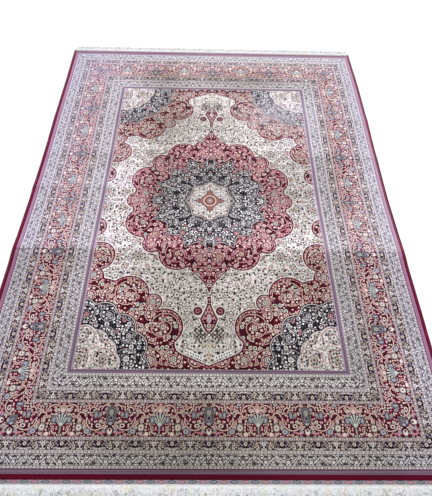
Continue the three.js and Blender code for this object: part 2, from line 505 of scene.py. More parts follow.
def scrolls(at, zones):
    """Spiral vines in their cells: in each lobe, round the medallion, and in rows elsewhere.

    Gives the distance to the vine, to the nearest bud and to the middle flower, a mask of rays round it,
    the distance to the flower between cells, and a chance for the cell.
    """
    tree = at.tree
    nearest, middle, size = zones.lobe
    count = mixed(zones.in_star, SCROLLS_IN_RING, SCROLLS_IN_STAR)
    round_middle = place(tree, zones.turn * count / (math.pi / 2), zones.radius / SCROLL_CELL)
    rows = at.scaled(1 / SCROLL_CELL)
    cells = mixed(zones.in_medallion, rows, round_middle, "VECTOR")
    cell = cells.vector("FLOOR")
    local = cells.vector("FRACTION").moved(-0.5, -0.5)
    cell_x, cell_y, _ = cell.parts()
    hand = 1 - ((cell_x + cell_y) / 2).sum("FRACT") * 4
    between = local.vector("ABSOLUTE").moved(-0.5, -0.5).length() * SCROLL_CELL
    local = local.vector("MULTIPLY", place(tree, hand, 1.0)).scaled(SCROLL_CELL)
    in_lobe = nearest < -LOBE_INSET
    local = mixed(in_lobe, local, at.vector("SUBTRACT", middle), "VECTOR")
    reach = mixed(in_lobe, SCROLL, size * LOBE_SCROLL)
    out = local.length()
    local_x, local_y, _ = local.parts()
    angle = local_y.sum("ARCTAN2", local_x) / (2 * math.pi) + 0.5
    share = out / reach
    phase = (share * (-1 / SCROLL_STEP) + (1 / SCROLL_STEP) - angle + 0.5).sum("FRACT") - 0.5
    vine = abs(phase) * reach * SCROLL_STEP + (share > VINE_TO) * FAR + (share < VINE_FROM) * FAR
    step = angle * BUDS
    across = (step.sum("FRACT") - 0.5) * out * (2 * math.pi / BUDS)
    bud_out = ((step.sum("FLOOR") + 0.5) * (-SCROLL_STEP / BUDS) + 0.75) * reach
    bud = place(tree, across, out - bud_out).length()
    petals = (angle * (2 * PETALS * math.pi)).sum("COSINE") * PETAL_DEPTH + 1
    rays = (abs(out - RAY_AT) < RAY_HALF) & ((angle * (2 * RAYS * math.pi)).sum("COSINE") > RAY_SHARE)
    chance = node(tree, "ShaderNodeTexWhiteNoise", {"Vector": cell}, "Value", noise_dimensions="2D")
    return vine, bud, out * petals, rays, between + in_lobe * FAR, chance


def field_colour(unslipped, at):
    """The field's pattern: ivory ground, red medallion and spandrels, navy star and corners, flowers."""
    zones = field_zones(at)
    red, navy, corner, in_medallion = zones.red, zones.navy, zones.corner, zones.in_medallion
    radius, outer, inner = zones.radius, zones.outer, zones.inner
    tree = at.tree
    dark = red | navy
    pink = even(tree, PEACH).painted(in_medallion, MEDALLION_PINK)
    blush = even(tree, CREAM).painted(in_medallion, MEDALLION_BLUSH)

    def by_zone(on_ivory, on_red, on_navy):
        return even(tree, on_ivory).painted(red, on_red).painted(navy, on_navy)

    def by_zone_number(on_ivory, on_red, on_navy):
        return mixed(navy, mixed(red, on_ivory, on_red), on_navy)

    shade = by_zone(MAROON, WINE, BLACK)
    in_rosette = radius < ROSETTE_TIP
    art = Picture(by_zone(IVORY, RED, NAVY))
    art.add(cloudy(at, MOTTLE) > 0.52, by_zone(IVORY_TINT, DEEP_RED, BLACK))
    art.add((abs(cloudy(at, BROAD_MOTTLE, 1.0) - 0.5) < 0.02) & ~dark, STONE)

    # Small dots, close together.
    dot, chance, other = scatter(at, FIELD_DOT_PITCH, 0.65)
    art.add((dot < 6.0) & dark, shade)
    specks = by_zone(SLATE, pink, WHITE).painted(other > 0.55, by_zone(STONE, blush, LILAC_GREY))
    specks = specks.painted(other > 0.84, by_zone(ROSE, PEACH, WHITE)).painted(in_rosette, LEAF_GREY)
    sparse = by_zone_number(0.4, in_medallion * 0.1 + 0.44, 0.44) - in_rosette * 0.2
    art.add((dot < 1.9) & navy, LEAF_GREY)
    art.add((dot < mixed(dark, 3.3, 4.1)) & (chance > sparse), specks)

    # Rings with a dot in the middle. On ivory most are solid.
    ring, chance, other = scatter(at.moved(*SECOND_SCATTER), FIELD_RING_PITCH)
    ring_paint = by_zone(MAROON, pink, WHITE).painted(other > 0.4, by_zone(SLATE, blush, WHITE))
    ring_paint = ring_paint.painted(other > 0.85, by_zone(STONE, MIST, ROSE))
    ringed = chance > by_zone_number(0.66, 0.42, 0.52)
    art.add((ring < 11.6) & dark & ringed, shade)
    art.layers(ring, ringed, (8.8, ring_paint), (5.2, by_zone(IVORY, WINE, BLACK)))
    art.add((ring < 2.4) & ringed & dark, by_zone(TAN, CREAM, STONE))
    art.add((ring < 5.2) & (chance < 0.45) & ~dark, SLATE)

    vine, bud, flower, rays, between, cell_chance = scrolls(at, zones)
    vine_half = by_zone_number(1.0, 1.4, 1.2).most(corner * 1.8)
    art.add((vine < vine_half + 2.4) & dark, shade)
    art.add(vine < vine_half, by_zone(STONE, pink, LILAC_GREY).painted(corner, RUST))
    art.add((bud < 8.4) & dark, shade)
    art.add(bud < by_zone_number(4.5, 5.6, 4.8), by_zone(SLATE, blush, WHITE))
    art.add((bud < 1.7) & dark, by_zone(MAROON, SLATE, SLATE))
    art.add(rays, by_zone(STONE, ROSE, SLATE))

    petal = by_zone(IVORY, blush, WHITE).painted(cell_chance > 0.4, by_zone(TAN, MIST, PALE_GREY))
    petal = petal.painted(cell_chance > 0.75, by_zone(RUST_PALE, PEACH, ROSE))
    for reach in (flower, between + 2.5):
        art.add(reach < mixed(dark, 12.6, 14.6), shade)
        art.add(reach < 10.8, petal)
        art.add(reach < mixed(dark, 4.8, 6.6), by_zone(SLATE, WINE, BLACK))
        art.add((reach < 3.2) & dark, CREAM)

    # The small star in the middle, with its ring.
    x, y, _ = at.parts()
    rust = x**STAR_CURVE + y**STAR_CURVE
    art.add(rust < (CENTRE_STAR + 9) ** STAR_CURVE, MAROON)
    art.add(rust < CENTRE_STAR**STAR_CURVE, RUST)
    art.add(abs(radius - 30) < 3.4, RUST_PALE)
    art.add(radius < 25, TAN_GREY)
    art.add(abs(radius - 21) < 3.2, MAROON)
    art.add(radius < 6, RUST_PALE)

    # The knop over the pendant, the pendant's middle and its two balls.
    art.figures(at, PENDANT_FIGURES)
    art.add(at.circle(*PENDANT_BALL) < 0, MAROON)
    art.add(abs(at.circle(*PENDANT_BALL_RING)) < 2, RUST)

    # Below the pendant: dark dots in staggered rows, tan palmettes, a dotted line along the pointed end.
    to_dot = place(tree, (x + y).folded(DOT_STEP), (x - y).folded(DOT_STEP)).length()
    art.add((to_dot < DOT_RADIUS) & at.oval(*DOTTED_OVAL) & (outer > 8), SLATE)
    for palm_x, palm_y, half_x, half_y in PALMS:
        leaf = (palm_x, palm_y, (half_x + PALM_RIM, half_y + PALM_RIM, STONE), (half_x, half_y, PALM_TAN))
        art.figures(at, (leaf, (palm_x, palm_y - 2, (half_x / 2 - 1, half_y / 2, MID_GREY))))
    along_end = (y > END_LINE_FROM) & (abs(x - END_LINE_X) < END_LINE_HALF)
    to_line = abs(outer - END_LINE_IN)
    art.add(along_end & (to_line < 8), WHITE)
    art.add(along_end & (to_line < 3.6) & (x.folded(5.2) < 2.8), SLATE)

    # The outlines: ivory outside the large forms, a broken rose line inside, and dark between.
    art.add(abs(outer - 4.6) < 1.6, IVORY)
    art.add((abs(outer + 7.2) < 1.4) & (cloudy(at, 7) > 0.47), ROSE)
    art.add(abs(outer) < OUTLINE_HALF, OUTLINE)
    art.add((abs(inner - 4.2) < 2.0) & ~corner, shade)
    art.add(inner < 1.9, GUARD)
    art.add(unslipped.parts()[0] > FIELD_X - SIDE_LINE_EXTRA, LINE_GREY)
    return art.paint


# ---- the borders

# Distances from the borders' middle line, where each band starts. The inner light guard is wider.
BORDER_MIDDLE = 192.5
MINOR_AT, NAVY_AT, LIGHT_AT, GROUND_AT, BEADS_AT, LINES_AT = 57, 69, 100, 112, 148.5, 159
INNER_STRETCH = 56 / 63
EDGE_BAND, SIDE_EDGE_BAND = 17.5, 16.5

# A half repeat of the main border, from a fan palmette to an oval one, across from its outer edge.
MAIN_REPEAT = 180.5
SHORT_CELL_FROM, SHORT_CELL = 5 * MAIN_REPEAT, 126
MAIN_DOT_PITCH, MAIN_RING_PITCH = 9.8, 19.0
VINE_HALF, VINE_RIM = 1.9, 1.9
FAN_AT = 40  # how far the fan's foot is from the border's outer edge
FAN_RADIUS, FAN_FOOT, FAN_BLADES, FAN_BLADE_SHARE = 20, 7, 9, 0.68
# Vine arcs: middle along and across, radius, and the side of the middle that they keep to.
MAIN_ARCS = (
    (31, 81, 26, 0, 1),
    (71, 66, 15, 0, 1),
    (127, 57, 36, 0, -1),
    (160, 90, 17, 0, 1),
    (50, 46, 13, 0, -1),
    (112, 86, 13, 0, 1),
    (152, 58, 14, 1, -1),
    (16, 24, 14, 1, -1),
)
# Figures, in the order that they are painted: a middle, then ovals as half sizes and colour.
MAIN_FIGURES = (
    (0, 86, (5, 10, VINE_PEACH)),
    (0, FAN_AT + 18, (22, 22, WINE), (FAN_RADIUS, FAN_RADIUS, SLATE)),
    (0, 20, (6, 22, WINE), (3.2, 20, STONE)),
    (0, FAN_AT, (8, 6, MIST)),
    (28, 56, (11, 14, WINE), (8.6, 11.6, LEAF_GREY)),
    (28, 55, (3.0, 7, PALE_GREY)),
    (67, 30, (15, 16, WINE), (12.4, 13.4, STONE), (8.0, 8.6, CREAM), (3.4, 3.4, SLATE)),
    (97, 17, (12.5, 11.5, WINE), (10, 9, PALE_GREY), (4, 4, LEAF_GREY)),
    (90, 98, (9.5, 9.5, WINE), (7.4, 7.4, PINK), (4.0, 4.0, MAROON)),
    (MAIN_REPEAT, 70, (20.5, 34, WINE), (18, 31, OVAL_GREY), (14, 26.5, OVAL_DARK)),
    (MAIN_REPEAT, 81, (8.6, 11, STONE)),
    (MAIN_REPEAT, 61, (9.4, 11, MID_GREY)),
    (MAIN_REPEAT, 43, (7.0, 4.5, PALE_GREY)),
    (MAIN_REPEAT, 62, (4.0, 5, BLACK)),
    (124, 73, (9.6, 16, WINE), (7.0, 13, LEAF_GREY)),
    (124, 72, (2.6, 7, PALE_GREY)),
    (137, 36, (12.5, 10, WINE), (9.5, 7, CREAM), (5.0, 3.6, MAROON)),
    (MAIN_REPEAT, 17, (12, 14, WINE), (9.0, 11, CREAM)),
    (MAIN_REPEAT, 22, (4.0, 5, MAROON)),
    (150, 12, (13, 3.4, ROSE)),
    (48, 33, (8, 28, WINE)),
    (46, 9, (7.5, 6, CREAM)),
    (45, 53, (3.8, 4.0, VINE_PEACH)),
    (48, 42.5, (3.8, 4.0, PEACH)),
    (49, 32, (3.8, 4.0, PINK)),
    (50, 21.5, (3.8, 4.0, PEACH)),
)
# A half repeat of the navy guard, from a winged flower to a plain one, across from the main border.
NAVY_REPEAT, NAVY_SPECK_PITCH = 65.64, 7.2
NAVY_FIGURES = (
    (0, 20, (12, 4.6, BLACK)),
    (0, 11, (9.2, 9.0, BLACK), (7.2, 7.0, WHITE)),
    (0, 11.6, (3.8, 3.8, MAROON)),
    (0, 12, (1.8, 1.8, CREAM)),
    (0, 21, (3.0, 2.6, CREAM)),
    (NAVY_REPEAT, 20, (9.5, 4.6, BLACK)),
    (NAVY_REPEAT, 11, (8.6, 8.6, BLACK), (6.4, 6.4, CREAM), (3.4, 3.4, MAROON), (1.6, 1.6, GUARD)),
    (34, 13, (7.2, 7.0, BLACK), (5.2, 5.0, TAN), (2.6, 2.4, MAROON)),
    (48, 25, (6, 3.0, PALE_GREY)),
    (22, 26, (6, 2.8, GUARD)),
    (6, 28, (5, 1.8, CREAM)),
    (60, 28, (5, 1.8, CREAM)),
)
LIGHT_REPEAT, LIGHT_SPECK_PITCH = 40.1, 7.4
ZIGZAG_SLOPE, ZIGZAG_AT, ZIGZAG_DOTS_AT = 0.9, -2, 11
LIGHT_FIGURES = (
    (0, 11, (8.6, 7.8, GUARD_DARK), (5.8, 5.2, WHITE), (2.2, 2.0, MAROON)),
    (13, 7, (4.6, 3.8, GUARD_DARK)),
    (14, 25, (7.0, 6.2, GUARD_DARK), (4.4, 3.8, WHITE), (1.8, 1.8, SLATE)),
    (0, 30, (8.0, 4.0, GUARD_DARK)),
    (LIGHT_REPEAT, 25, (8.4, 7.6, GUARD_DARK), (5.8, 5.2, WHITE), (2.4, 2.4, TAN)),
    (27, 12, (6.6, 5.8, GUARD_DARK), (4.0, 3.4, WHITE)),
    (LIGHT_REPEAT, 8, (6.4, 4.4, GUARD_DARK)),
    (27, 31, (4.4, 3.4, GUARD_DARK)),
)
BEAD_REPEAT = 13.0
# The stripes of beads: where each starts and ends, its ground and its beads.
BEAD_STRIPES = (
    (MINOR_AT, NAVY_AT, MINOR_LINE, MINOR_BEAD),
    (LIGHT_AT, GROUND_AT, GUARD_LINE, GUARD_BEAD),
    (BEADS_AT, LINES_AT, GUARD_LINE, GUARD_BEAD),
)
LINE_PITCH, LINE_HALF = 4.4, 0.9
INNER_LINE_AT = 167
SIDE_SHEEN_VEIL = 0.2


def main_border(art, main, in_main):
    """Palmettes, rosettes and arching vines on dotted crimson."""
    along, across, _ = main.parts()
    art.add(cloudy(main, BROAD_MOTTLE) > 0.5, DEEP_RED)
    dot, chance, other = scatter(main, MAIN_DOT_PITCH)
    art.add(dot < 4.6, WINE)
    dots = even(main.tree, PINK).painted(chance > 0.55, CREAM).painted(other > 0.7, PEACH)
    art.add((dot < 3.1) & (chance > 0.2), dots)
    ring, chance, other = scatter(main.moved(*SECOND_SCATTER), MAIN_RING_PITCH)
    ring_paint = even(main.tree, PEACH).painted(other > 0.4, CREAM).painted(other > 0.82, PALE_GREY)
    art.layers(ring, chance > 0.35, (8.8, WINE), (6.8, ring_paint), (4.0, WINE), (2.2, CREAM))
    for arc_along, arc_across, arc_radius, side_along, side_across in MAIN_ARCS:
        line = abs(main.distance(arc_along, arc_across) - arc_radius)
        keep = line < VINE_HALF + VINE_RIM
        if side_along:
            keep = keep & ((along - arc_along) * side_along > 0)
        if side_across:
            keep = keep & ((across - arc_across) * side_across > 0)
        art.add(keep, WINE)
        art.add(keep & (line < VINE_HALF), VINE_PEACH)
    art.figures(main, MAIN_FIGURES, in_main)
    fan_turn = (across - FAN_AT).sum("ARCTAN2", along)
    in_fan = main.oval(0, FAN_AT + 18, FAN_RADIUS, FAN_RADIUS) & (across > FAN_AT)
    blades = (fan_turn.waves(FAN_BLADES) > FAN_BLADE_SHARE) & (main.distance(0, FAN_AT) > FAN_FOOT)
    art.add(in_fan & blades, MIST)


def navy_guard(art, navy, in_navy):
    """Small flowers with dark leaves among specks."""
    speck, chance, other = scatter(navy, NAVY_SPECK_PITCH)
    specks = even(navy.tree, LILAC_GREY).painted(chance > 0.6, CREAM).painted(other > 0.7, TAN)
    art.add(in_navy, SLATE)
    art.add(in_navy & (speck < 2.7) & (chance > 0.3), specks)
    art.figures(navy, NAVY_FIGURES, in_navy)


def light_guard(art, light, specks_at, in_light):
    """Dark zigzag lines, flowers and specks on pale grey."""
    along, across, _ = light.parts()
    speck, chance, _ = scatter(specks_at, LIGHT_SPECK_PITCH)
    speckled = in_light & (speck < 2.9)
    art.add(speckled & (chance > 0.45), GUARD_DARK)
    art.add(speckled & (chance < 0.25), WHITE)
    vee = along * ZIGZAG_SLOPE - across
    art.layers(abs(vee - ZIGZAG_AT), in_light, (5.2, GUARD_DARK), (2.4, WHITE))
    dotted = (along.folded(4.2) < 2.5) & (abs(vee - ZIGZAG_DOTS_AT) < 2.1)
    art.add(in_light & dotted, GUARD_DARK)
    art.figures(light, LIGHT_FIGURES, in_light)


def border_colour(at, slipped):
    """The borders' pattern, from the crimson edge to the lines round the field, mitred at the corners.

    slipped is the same place, moved along the sides as the medallion is.
    """
    tree = at.tree
    x, y, _ = at.parts()
    _, slipped_y, _ = slipped.parts()
    to_side, to_end = HALF_WIDTH - x, HALF_PATTERN - y
    at_side = to_side < to_end
    deep = to_side.least(to_end)
    along_side = mixed(to_side > to_end, HALF_PATTERN - slipped_y, to_end)
    along = to_side.most(along_side) - BORDER_MIDDLE
    off = abs(deep - BORDER_MIDDLE)
    inner = (deep > BORDER_MIDDLE + LIGHT_AT) & (off > LIGHT_AT)
    off = mixed(inner, off, (off - LIGHT_AT) * INNER_STRETCH + LIGHT_AT)

    stretch = (along - SHORT_CELL_FROM).most(0.0) * (MAIN_REPEAT / SHORT_CELL - 1)
    main_along = MAIN_REPEAT - (along + stretch).folded(MAIN_REPEAT)
    main = place(tree, main_along, deep - (BORDER_MIDDLE - MINOR_AT))
    art = Picture(even(tree, RED))
    main_border(art, main, off < MINOR_AT)

    art.add(off > MINOR_AT, MINOR_LINE)
    in_navy = (off > NAVY_AT) & (off < LIGHT_AT)
    navy_guard(art, place(tree, along.folded(NAVY_REPEAT), off - NAVY_AT), in_navy)

    art.add(off > LIGHT_AT, GUARD)
    in_light = (off > GROUND_AT) & (off < BEADS_AT)
    light = place(tree, along.folded(LIGHT_REPEAT), off - GROUND_AT)
    light_guard(art, light, place(tree, along, off), in_light)
    # The light guard along the sides is veiled a little, flatter and greyer: painted sheen.
    art.add(in_light & at_side & SIDE_SHEEN_VEIL, GUARD_SHEEN_VEIL)

    bead = place(tree, along.folded(BEAD_REPEAT), off)
    for start, end, line_paint, bead_paint in BEAD_STRIPES:
        middle = (start + end) / 2
        here = (off > start) & (off < end)
        beads = (
            (0, middle, (5.4, 4.0, bead_paint), (2.0, 1.8, MAROON)),
            (BEAD_REPEAT, middle, (4.8, 3.4, bead_paint)),
            (BEAD_REPEAT / 2, middle, (1.6, 3.4, MINOR_DARK)),
        )
        art.add(here, line_paint)
        art.figures(bead, beads, here)
    for line in (MINOR_AT, NAVY_AT, LIGHT_AT, GROUND_AT, BEADS_AT):
        art.add(abs(off - line) < LINE_HALF, MINOR_DARK)

    # Along the sides the lines are lighter and pinker: painted sheen.
    sheen_on_lines = at_side & ~inner
    lines = even(tree, LINE_PURPLE).painted(sheen_on_lines, SIDE_LINE_SHEEN)
    pale_lines = even(tree, LINE_GREY).painted(sheen_on_lines, SIDE_LINE_PALE_SHEEN)
    in_lines = off > LINES_AT
    on_line = (off - LINES_AT).folded(LINE_PITCH / 2) < LINE_HALF
    art.add(in_lines, lines)
    art.add(in_lines & on_line, pale_lines)
    art.add((abs(off - INNER_LINE_AT) < 3.2) & inner, LINE_DARK)
    art.add((abs(off - LINES_AT) < 1.4) & ~inner, LINE_RED)
    art.add((deep < EDGE_BAND) | (to_side < SIDE_EDGE_BAND), EDGE_CRIMSON)
    return art.paint


# ---- materials

SHEEN_ROUGHNESS = 0.35


def new_material(name, roughness, sheen, sheen_tint=(1, 1, 1, 1), specular=0.35):
    """A material, its tree and the place on the flat cloth."""
    material = bpy.data.materials.new(name)
    material.use_nodes = True
    tree = material.node_tree
    sockets = tree.nodes["Principled BSDF"].inputs
    sockets["Roughness"].default_value = roughness
    sockets["Sheen Weight"].default_value = sheen
    sockets["Sheen Roughness"].default_value = SHEEN_ROUGHNESS
    sockets["Sheen Tint"].default_value = sheen_tint
    sockets["Specular IOR Level"].default_value = specular
    return material, tree, attribute(tree, "flat", "Vector")


def places(tree):
    """The place on the flat cloth in whole knots, folded into one quarter about the rug's middle, and the
    same about the medallion's middle, from which the weaving evens out towards both ends."""
    knots = attribute(tree, "flat", "Vector").vector("SNAP", (KNOT, KNOT, KNOT))
    x, y, _ = knots.parts()
    share = 1 - y * y * (1 / HALF_PATTERN**2)
    slipped = place(tree, x - share * FIELD_OFF_X, y - share * FIELD_OFF_Y)
    return knots.vector("ABSOLUTE"), slipped.vector("ABSOLUTE")


def brightened(paint, light, blue=None):
    """A colour made lighter or darker by a number about 1, and its blue part by another."""
    return paint.vector("MULTIPLY", place(paint.tree, light, light, blue or light))


def dress(material, paint, height=None, strength=0.0, distance=0.0):
    """The material with its colour, and with fine bumps of this height in metres."""
    tree = paint.tree
    sockets = tree.nodes["Principled BSDF"].inputs
    tree.links.new(paint.socket, sockets["Base Color"])
    if height:
        inputs = {"Strength": strength, "Distance": distance, "Height": height}
        tree.links.new(node(tree, "ShaderNodeBump", inputs, "Normal").socket, sockets["Normal"])
    return material


PILE_SHEEN = (0.66, 0.68, 1, 1)
# Painted sheen: a pale haze, bluish at the left and greyer at the right, laid over the colour where the
# pile lies lighter.
SHEEN_HAZE, SHEEN_HAZE_LEFT, SHEEN_HAZE_RIGHT = 0.52, colour(206, 200, 226), colour(210, 206, 206)
SHEEN_HAZE_MOST, SHEEN_HAZE_ON_PLAIN = 0.5, 0.4  # the most painted sheen haze where the pile lies lighter, and the share of it on plain crimson
# The lightest painted sheen, random patches of painted sheen and shade, fine knot tone, painted shade at
# crests.
LIGHTEST_NAP_SHEEN, PATCH, FINE, CREST_SHADE = 1.11, 0.3, 0.3, 0.5
SHEEN_BLUE_BY_NAP, SHEEN_BLUE_AT_SIDES = 0.16, 0.12  # how much bluer the painted sheen makes it where the pile lies lighter, and at the sides


def pile_material(name, pattern):
    """Cut silk pile: the pattern in knots, painted sheen and shade in patches, and painted shade at
    partings.
    """
    material, tree, flat = new_material(name, 0.5, 0.7, PILE_SHEEN, 0.04)
    paint = pattern(*places(tree))
    # The colour is made lighter or darker by the painted shade and sheen, and darker along parted crests:
    # painted shade.
    nap_light = attribute(tree, "nap_sheen_and_shade", "Fac") + (cloudy(flat, 260, 3.0) - 0.5) * PATCH
    fine = (cloudy(flat, 3.0, 1.0) - 0.5) * FINE
    light = nap_light.least(LIGHTEST_NAP_SHEEN) + fine - attribute(tree, "parting", "Fac") * CREST_SHADE
    flat_x, flat_y, _ = flat.parts()
    side = flat_x * (2 / FULL_WIDTH)
    patterned = paint.parts()[1] > 0.001  # only the plain crimson edge has no green in it
    # The painted sheen haze is kept off the plain crimson edge, except along the far end and partly on the
    # right.
    sheen_hazed = patterned | (flat_y > HALF_PILE - EDGE_BAND) | (side > 0.0) * SHEEN_HAZE_ON_PLAIN
    sheen_haze = ((nap_light - 1.0).within(0.0, SHEEN_HAZE_MOST) * SHEEN_HAZE) & sheen_hazed
    # The blue part is lifted where the pile lies lighter and towards the sides: painted sheen.
    sheen_blue = light * (nap_light * SHEEN_BLUE_BY_NAP + side * side * SHEEN_BLUE_AT_SIDES + (1 - SHEEN_BLUE_BY_NAP))
    paint = brightened(paint, light, sheen_blue)
    paint = paint.painted(sheen_haze, mixed(side * 0.5 + 0.5, SHEEN_HAZE_LEFT, SHEEN_HAZE_RIGHT, "RGBA"))
    return dress(material, paint, cloudy(flat, 1.6, 2.0) + cloudy(flat, 24, 2.0) * 2, 0.35, 0.0012)


FIGURE = 36.0  # the step between the small figures of the woven ends
FIGURE_MIDDLE, FIGURE_HALF_X, FIGURE_HALF_Y = 5.6, 17.0, 6.6
PLAIN_WEAVE = 12.2  # where the figured band ends
WARP_STEP, WEFT_STEP = 1.6, 1.1
WEAVE_GREY, FIGURE_BLUE, FIGURE_ROSE = colour(158, 154, 162), colour(70, 76, 98), colour(158, 88, 104)
FIGURE_LINE = colour(206, 200, 206)
BACK_WEAVE, BACK_PALE, BACK_PALING = colour(210, 206, 200), colour(196, 184, 176), (0.28, 0.28, 0.28, 1)
CORD_SHEEN, AGED_SILK = colour(150, 24, 72), colour(244, 240, 231)
WRAP_THREAD = 0.6
FLOOR_WHITE = (0.92, 0.92, 0.92, 1)


def foundation_material():
    """The flat-woven ends: grey silk, a row of small blue-grey and pink figures, a white outer line."""
    material, tree, flat = new_material("end_weave", 0.6, 0.2)
    x, y, _ = flat.parts()
    out = abs(y) - HALF_PILE
    pink = (x / (2 * FIGURE)).sum("FRACT") > 0.5
    side = FIGURE / 2 - x.folded(FIGURE / 2)
    figure = side / FIGURE_HALF_X + abs(out - FIGURE_MIDDLE) / FIGURE_HALF_Y
    paint = even(tree, WEAVE_GREY)
    paint = paint.painted(figure < 1, even(tree, FIGURE_BLUE).painted(pink, FIGURE_ROSE))
    paint = paint.painted(abs(figure - 0.46) < 0.1, FIGURE_LINE)
    paint = paint.painted(out > PLAIN_WEAVE, WHITE_SILK)
    paint = brightened(paint, (cloudy(flat, 3.4) - 0.5) * 1.1 + 1)
    return dress(material, paint, x.ripple(WARP_STEP) * y.ripple(WEFT_STEP), 0.5, 0.0005)


def back_material():
    """The underside: the same pattern in flat rows of knots, paler and with the wefts showing."""
    material, tree, flat = new_material("knotted_back", 0.75, 0.1)
    at, slipped = places(tree)
    x, y, _ = at.parts()
    in_field = (x < FIELD_X) & (y < FIELD_Y)
    paint = border_colour(at, slipped).painted(in_field, field_colour(at, slipped))
    paint = paint.painted(y > HALF_PILE, BACK_WEAVE)
    paint = paint.painted(even(tree, BACK_PALING), BACK_PALE)
    flat_x, flat_y, _ = flat.parts()
    rows, knots = flat_y.ripple(2 * KNOT), flat_x.ripple(2 * KNOT)
    paint = brightened(paint, rows * 0.05 + (cloudy(flat, 3.0) - 0.5) * 0.3 + 1)
    return dress(material, paint, abs(rows) + abs(knots), 0.5, 0.0006)


def cord_material():
    """Wrapped silk, dark crimson, with fine turns and lighter patches along it, a painted sheen."""
    material, tree, flat = new_material("overcast_silk", 0.42, 0.4, (1, 0.4, 0.6, 1), 0.2)
    # Lighter crimson patches here and there: painted sheen.
    paint = even(tree, EDGE_CRIMSON).painted(cloudy(flat, 60, 3.0) > 0.58, CORD_SHEEN)
    paint = brightened(paint, (cloudy(flat, 4.0) - 0.5) * 0.6 + 1)
    return dress(material, paint, flat.parts()[1].ripple(WRAP_THREAD), 0.3, 0.0003)


def fringe_material():
    """Loose undyed silk, bluish white, with painted shade: darker towards its tangled tips, in speckles
    and loops.
    """
    material, tree, flat = new_material("fringe_silk", 0.4, 0.4, specular=0.5)
    out = (abs(flat.parts()[1]) - FRINGE_START) / (FRINGE_END - FRINGE_START)
    # Each strand's random tone, partly its own and partly painted shade between strands, and soft speckles
    # of painted shadow.
    light = attribute(tree, "strand", "Fac") * 0.3 + 1.04 + (cloudy(flat, 7.0, 3.0) - 0.5) * 0.9
    # Looping marks of painted shadow where the strands tangle.
    tangle_shadow = (abs(cloudy(flat, 15.0, 1.0) - 0.5) < 0.02) | (cloudy(flat.moved(300, 0), 20.0, 3.0) > 0.6)
    aged = ((cloudy(flat.moved(0, 500), 50.0, 1.0) - 0.52) * 8).within(0.0, 1.0)
    silk = even(tree, WHITE_SILK).painted(aged, AGED_SILK)
    # Darker outwards to the tips and along the looping marks: painted shadow.
    return dress(material, brightened(silk, light - out * (tangle_shadow + 0.34)))


def floor_material():
    material, tree, _ = new_material("pale_floor", 0.85, 0.0, specular=0.1)
    tree.nodes["Principled BSDF"].inputs["Base Color"].default_value = FLOOR_WHITE
    return material


# ---- meshes


def put(name, data):
    """A new object in the scene."""
    made = bpy.data.objects.new(name, data)
    bpy.context.scene.collection.objects.link(made)
    return made


def add_piece(name, points, faces, materials, flat, slot_of_face=None, **numbers):
    """A mesh from arrays: points in mm, faces, and the place of each point on the flat cloth."""
    mesh = bpy.data.meshes.new(name)
    mesh.from_pydata((np.asarray(points) * MM).tolist(), [], [list(map(int, face)) for face in faces])
    for material in materials:
        mesh.materials.append(material)
    if slot_of_face is not None:
        mesh.polygons.foreach_set("material_index", np.asarray(slot_of_face, np.int32))
    where = mesh.attributes.new("flat", "FLOAT_VECTOR", "POINT")
    where.data.foreach_set("vector", np.asarray(flat, np.float32).ravel())
    for number_name, values in numbers.items():
        made = mesh.attributes.new(number_name, "FLOAT", "POINT")
        made.data.foreach_set("value", np.asarray(values, np.float32).ravel())
    mesh.polygons.foreach_set("use_smooth", [True] * len(mesh.polygons))
    mesh.update()
    return put(name, mesh)


def stations(stops, spacing):
    """Places from the first stop to the last, through all stops, none further apart than spacing."""
    stops = sorted(set(stops))
    places = [stops[0]]
    for low, high in zip(stops, stops[1:]):
        parts = max(1, math.ceil((high - low) / spacing))
        places += [low + (high - low) * k / parts for k in range(1, parts + 1)]
    return np.array(places)


def grid_faces(index):
    """The four-sided faces of a grid of point numbers."""
    return np.stack([index[:-1, :-1], index[:-1, 1:], index[1:, 1:], index[1:, :-1]], -1).reshape(-1, 4)


def slab(flat_x, flat_y, bottom, top):
    """A closed slab over a grid on the flat cloth, between two heights, with its sides drawn in.

    Gives points, faces, flat places, and how many faces the top has, which come first.
    """
    left = -CLOTH_WIDTH / 2 + draw_in(flat_y, LEFT)
    right = CLOTH_WIDTH / 2 - draw_in(flat_y, RIGHT)
    x = left + (right - left) * (flat_x / CLOTH_WIDTH + 0.5)
    size = x.size
    layers = [np.stack([x, flat_y, z], -1).reshape(-1, 3) for z in (top, bottom)]
    flat = np.stack([flat_x, flat_y, 0 * x], -1).reshape(-1, 3)
    index = np.arange(size).reshape(x.shape)
    quads = grid_faces(index)
    rim = np.concatenate([index[0, :-1], index[:-1, -1], index[-1, :0:-1], index[:0:-1, 0]])
    after = np.roll(rim, -1)
    walls = np.stack([rim, rim + size, after + size, after], -1)
    faces = np.concatenate([quads, quads[:, ::-1] + size, walls])
    return np.concatenate(layers), faces, np.concatenate([flat, flat]), len(quads)


CREASE_SHARES = (-1, -0.6, -0.3, -0.1, 0, 0.1, 0.3, 0.6, 1)  # rows of points over a crease
PILE_SPACING, FOUNDATION_SPACING = 12.5, 25
PILE_SUNK = 0.3  # how deep the pile stands in the foundation
EDGE_ROUND, EDGE_ROUND_SHARE = 3, 0.28  # how far in, and by how much, the pile's edge is rounded over
EDGE_STEPS = (0, 1, EDGE_ROUND)
UNEVEN = 0.35
PARTING_DEPTH = 0.8


def crease_stops():
    return [place_y + step * reach for place_y, reach, *_ in CREASES for step in CREASE_SHARES]


